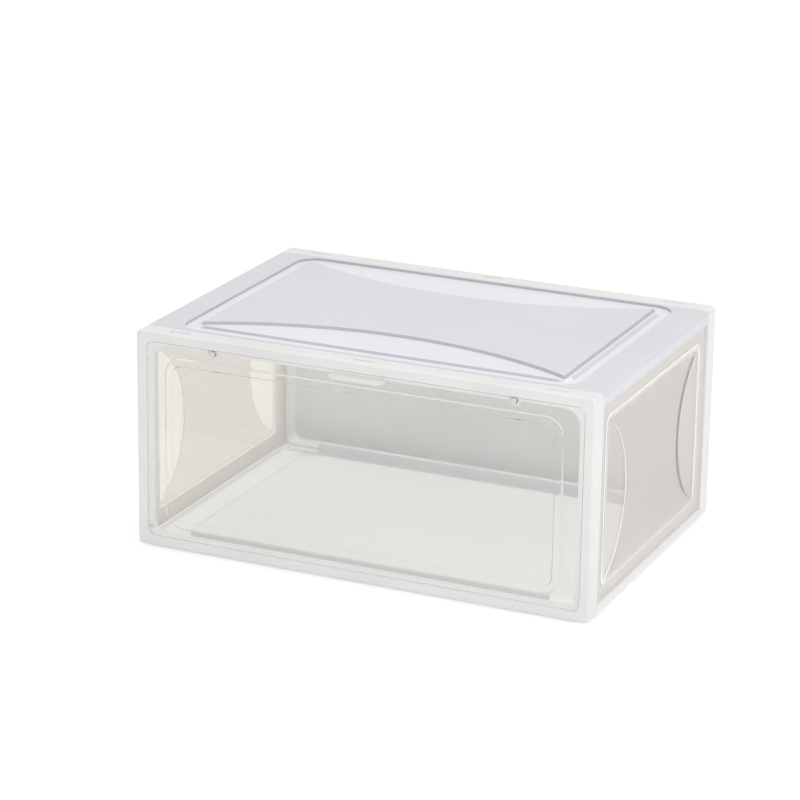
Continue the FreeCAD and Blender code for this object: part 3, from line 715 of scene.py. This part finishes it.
@dataclass
class Catch:
    """One catch: a nickel-plated magnet in the frame and a steel rivet through the door.

    Attributes:
        side: The side of the box, left or right.
        magnet_chamfer: The cut at the magnet's rims.
        head_outline: The front of the rivet's head from the floor of its dimple outwards, as pairs of a
            radius and a depth.
        head_edge: The depth at which the head is as wide as it gets.
        head_depth: Its depth at the door.
        tail_depth: The tail's depth.
        tail_cut: The cut at the tail's rim, as a radius and a depth.
        spin_steps: The faces round the axis.
        sharp: From how many degrees an edge shows as a crease.
        merge: How near two corners are the same.
        nickel: The magnet's finish.
        steel: The rivet's finish.
    """

    side: str
    magnet_chamfer: float = 0.25 * MM
    head_outline: tuple[tuple[float, float], ...] = (
        (0, 0.3 * MM),
        (0.5 * MM, 0.3 * MM),
        (0.75 * MM, 0.02 * MM),
        (0.9 * MM, 0),
        (1.6 * MM, 0.04 * MM),
        (2.1 * MM, 0.22 * MM),
    )
    head_edge: float = 0.45 * MM
    head_depth: float = 0.6 * MM
    tail_depth: float = 0.25 * MM
    tail_cut: tuple[float, float] = (0.15 * MM, 0.08 * MM)
    spin_steps: int = 48
    sharp: float = 35.0
    merge: float = 0.001 * MM
    nickel: Finish = PlatedMetal("nickel_plate_tumbled", "#DEDDDB", gloss=0.22)
    steel: Finish = PlatedMetal("steel_turned", "#D6D4D0", gloss=0.32)

    def build(self) -> list[bpy.types.Object]:
        """Turns both pieces on their own axis.

        Returns:
            The magnet and the rivet.
        """
        return [self.build_magnet(), self.build_rivet()]

    def build_magnet(self) -> bpy.types.Object:
        """Turns the magnet as a disc with chamfered rims."""
        node = f"magnet_{self.side}"
        low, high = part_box(node)
        radius, cut = (high.x - low.x) / 2, self.magnet_chamfer
        outline = [(0, low.y), (radius - cut, low.y), (radius, low.y + cut)]
        outline += [(radius, high.y - cut), (radius - cut, high.y), (0, high.y)]
        piece = self.turn(f"{node}_disc", self.nickel, outline, (low + high) / 2)
        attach(piece, "case")
        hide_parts(node)
        return piece

    def build_rivet(self) -> bpy.types.Object:
        """Turns the rivet: a crowned head with a dimple, a shank and a flat tail."""
        node = f"catch_stud_{self.side}"
        low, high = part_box(node)
        radius = (high.x - low.x) / 2
        shank = radius / 2
        head, tail = low.y + self.head_depth, high.y - self.tail_depth
        cut_width, cut_depth = self.tail_cut
        outline = [(out, low.y + deep) for out, deep in self.head_outline]
        outline += [(radius, low.y + self.head_edge), (radius, head), (shank, head), (shank, tail)]
        outline += [(radius, tail), (radius, high.y - cut_depth), (radius - cut_width, high.y), (0, high.y)]
        piece = self.turn(f"{node}_rivet", self.steel, outline, (low + high) / 2)
        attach(piece, "door")
        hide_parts(node)
        return piece

    def turn(
        self, name: str, finish: Finish, outline: list[tuple[float, float]], centre: Vector
    ) -> bpy.types.Object:
        """Spins an outline about the catch's axis, which runs along Y.

        Args:
            name: The piece's name.
            finish: Its finish.
            outline: Pairs of a radius and a place along Y, from the front to the back.
            centre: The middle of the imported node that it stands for.

        Returns:
            The new piece.
        """
        shape = bmesh.new()
        verts = [shape.verts.new((centre.x + radius, y, centre.z)) for radius, y in outline]
        edges = [shape.edges.new(pair) for pair in zip(verts, verts[1:])]
        bmesh.ops.spin(
            shape,
            geom=verts + edges,
            cent=(centre.x, 0, centre.z),
            axis=(0, 1, 0),
            angle=2 * math.pi,
            steps=self.spin_steps,
            use_merge=True,
        )
        bmesh.ops.remove_doubles(shape, verts=shape.verts, dist=self.merge)
        bmesh.ops.recalc_face_normals(shape, faces=shape.faces)
        mesh = keep_mesh(name, shape)
        mesh.materials.append(finish.material())
        for polygon in mesh.polygons:
            polygon.use_smooth = True
        mesh.set_sharp_from_angle(angle=math.radians(self.sharp))
        return add_object(name, mesh)


@dataclass(frozen=True)
class StudioCamera:
    """The camera: where it stands round its target, in degrees and metres, and its lens.

    Attributes:
        target: What it looks at.
        azimuth: How far it stands to the right of the box's front.
        elevation: How far above the target's level it stands, as an angle.
        roll: How far it is turned about its own line of sight.
        distance: From the target.
        sensor: The width of its film, in millimetres.
        image_side: The width of the picture.
        focal_in_image: The focal length in the picture's own units.
        near: What is nearer isn't drawn.
        far: Nor is what is further.
    """

    target: Vector = Vector((-24.1 * MM, 5.5 * MM, 98.6 * MM))
    azimuth: float = 24.132
    elevation: float = 18.442
    roll: float = 0.853
    distance: float = 2.367
    sensor: float = 36.0
    image_side: float = 800.0
    focal_in_image: float = 3146.7
    near: float = 0.05
    far: float = 60.0

    def build(self) -> None:
        """Makes the camera and gives it to the scene."""
        a, e, r = (math.radians(angle) for angle in (self.azimuth, self.elevation, self.roll))
        back = Vector((math.sin(a) * math.cos(e), -math.cos(a) * math.cos(e), math.sin(e)))
        right = Vector((math.cos(a), math.sin(a), 0))
        up = back.cross(right)
        turned_right = math.cos(r) * right + math.sin(r) * up
        turned_up = -math.sin(r) * right + math.cos(r) * up
        data = bpy.data.cameras.new("studio_camera")
        data.sensor_width = self.sensor
        data.lens = self.focal_in_image * self.sensor / self.image_side
        data.clip_start, data.clip_end = self.near, self.far
        camera = add_object("studio_camera", data)
        turn = Matrix((turned_right, turned_up, back)).transposed().to_4x4()
        camera.matrix_world = Matrix.Translation(self.target + back * self.distance) @ turn
        bpy.context.scene.camera = camera


@dataclass(frozen=True)
class Lamp:
    """A square lamp that faces the box: its side, its power in watts and where it hangs."""

    name: str
    side: float
    power: float
    place: Vector

    def hang(self) -> None:
        """Hangs the lamp."""
        data = bpy.data.lights.new(self.name, "AREA")
        data.shape, data.size, data.energy = "SQUARE", self.side, self.power
        lamp = add_object(self.name, data)
        lamp.location = self.place
        lamp.rotation_euler = self.place.to_track_quat("Z", "Y").to_euler()


@dataclass
class Studio:
    """A pale floor under a dim even sky, with a broad soft box overhead and a smaller lamp on the right."""

    floor_side: float = 40.0
    # The floor lies a hair below the box, so that the two don't flicker into each other.
    floor_gap: float = 0.1 * MM
    floor_paint: Finish = FloorPaint("floor_painted_board", "#FDFDFD")
    sky_colour: str = "#FFFFFF"
    sky_strength: float = 0.7
    soft_box: Lamp = Lamp("soft_box", 6.0, 110.0, Vector((0.3, 0.9, 4.0)))
    side_lamp: Lamp = Lamp("side_lamp", 0.7, 5.0, Vector((1.0, -1.0, 0.7)))

    def build(self) -> None:
        """Lays the floor and lights it."""
        self.build_floor()
        self.build_sky()
        self.soft_box.hang()
        self.side_lamp.hang()
        bpy.context.scene.view_settings.view_transform = "Standard"

    def build_floor(self) -> None:
        """Lays the painted floor."""
        shape = bmesh.new()
        bmesh.ops.create_grid(shape, x_segments=1, y_segments=1, size=self.floor_side / 2)
        bmesh.ops.translate(shape, verts=shape.verts, vec=(0, 0, -self.floor_gap))
        mesh = keep_mesh("floor", shape)
        mesh.materials.append(self.floor_paint.material())
        floor = add_object("floor", mesh)

    def build_sky(self) -> None:
        """Sets an even white sky."""
        world = bpy.data.worlds.new("sky")
        world.use_nodes = True
        tree = world.node_tree
        tree.nodes.clear()
        colour = linear(self.sky_colour)
        sky = add_node(tree, "ShaderNodeBackground", Color=colour, Strength=self.sky_strength)
        add_node(tree, "ShaderNodeOutputWorld", Surface=sky.outputs[0])
        bpy.context.scene.world = world


class ShoeBox:
    """The whole box: seven mouldings and two catches."""

    def __init__(self) -> None:
        """Gives each moulding its finish."""
        white = MilkyPolypropylene("polypropylene_natural_gloss", "#DFDFDE", lets_in=0.82)
        top = FrostedFieldPolypropylene("polypropylene_blasted_top", "#E0E1E4", lets_in=0.75)
        bottom = FrostedFieldPolypropylene(
            "polypropylene_blasted_bottom",
            "#E6E6E6",
            lets_in=0.5,
            field_colour="#E2E1DF",
            rim_colour="#E6E6E6",
            # Painted shade on the bottom's steep walls.
            wall_painted_shade_colour="#D9D9DA",
            field=Step(Axis.Z, 4.2 * MM),
        )
        side = FrostedFieldStyrene("polystyrene_blasted_side", "#EDE8E1", lets_in=0.85)
        door = ClearStyrene("polystyrene_clear_polished", "#FEFDFB", lets_in=1.0)
        self.mouldings = [
            Moulding(Part.FRONT_FRAME, "case", "white_frame", white),
            Moulding(Part.BACK_COVER, "case", "white_frame", white),
            Moulding(Part.TOP_PANEL, "case", "milky_panel", top),
            Moulding(Part.BOTTOM_PANEL, "case", "milky_panel", bottom),
            Moulding(Part.LEFT_SIDE, "case", "frosted_side", side),
            Moulding(Part.RIGHT_SIDE, "case", "frosted_side", side),
            Moulding(Part.DOOR, "door", "clear_door", door, edge=0.4 * MM, steps=3),
        ]
        self.catches = [Catch("left"), Catch("right")]

    def build(self, nodes: dict[str, bpy.types.Object]) -> list[bpy.types.Object]:
        """Builds every piece.

        Args:
            nodes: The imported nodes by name.

        Returns:
            The new pieces.
        """
        pieces = [moulding.build(nodes[moulding.part.value]) for moulding in self.mouldings]
        for catch in self.catches:
            pieces.extend(catch.build())
        return pieces


def main() -> None:
    """Builds the studio and the box, and reports each piece."""
    logging.basicConfig(level=logging.INFO, format="%(name)s: %(message)s")
    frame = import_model()
    StudioCamera().build()
    Studio().build()
    for piece in ShoeBox().build(frame["nodes"]):
        LOG.info("%s has %d faces", piece.name, len(piece.data.polygons))


if __name__ == "__main__":
    main()
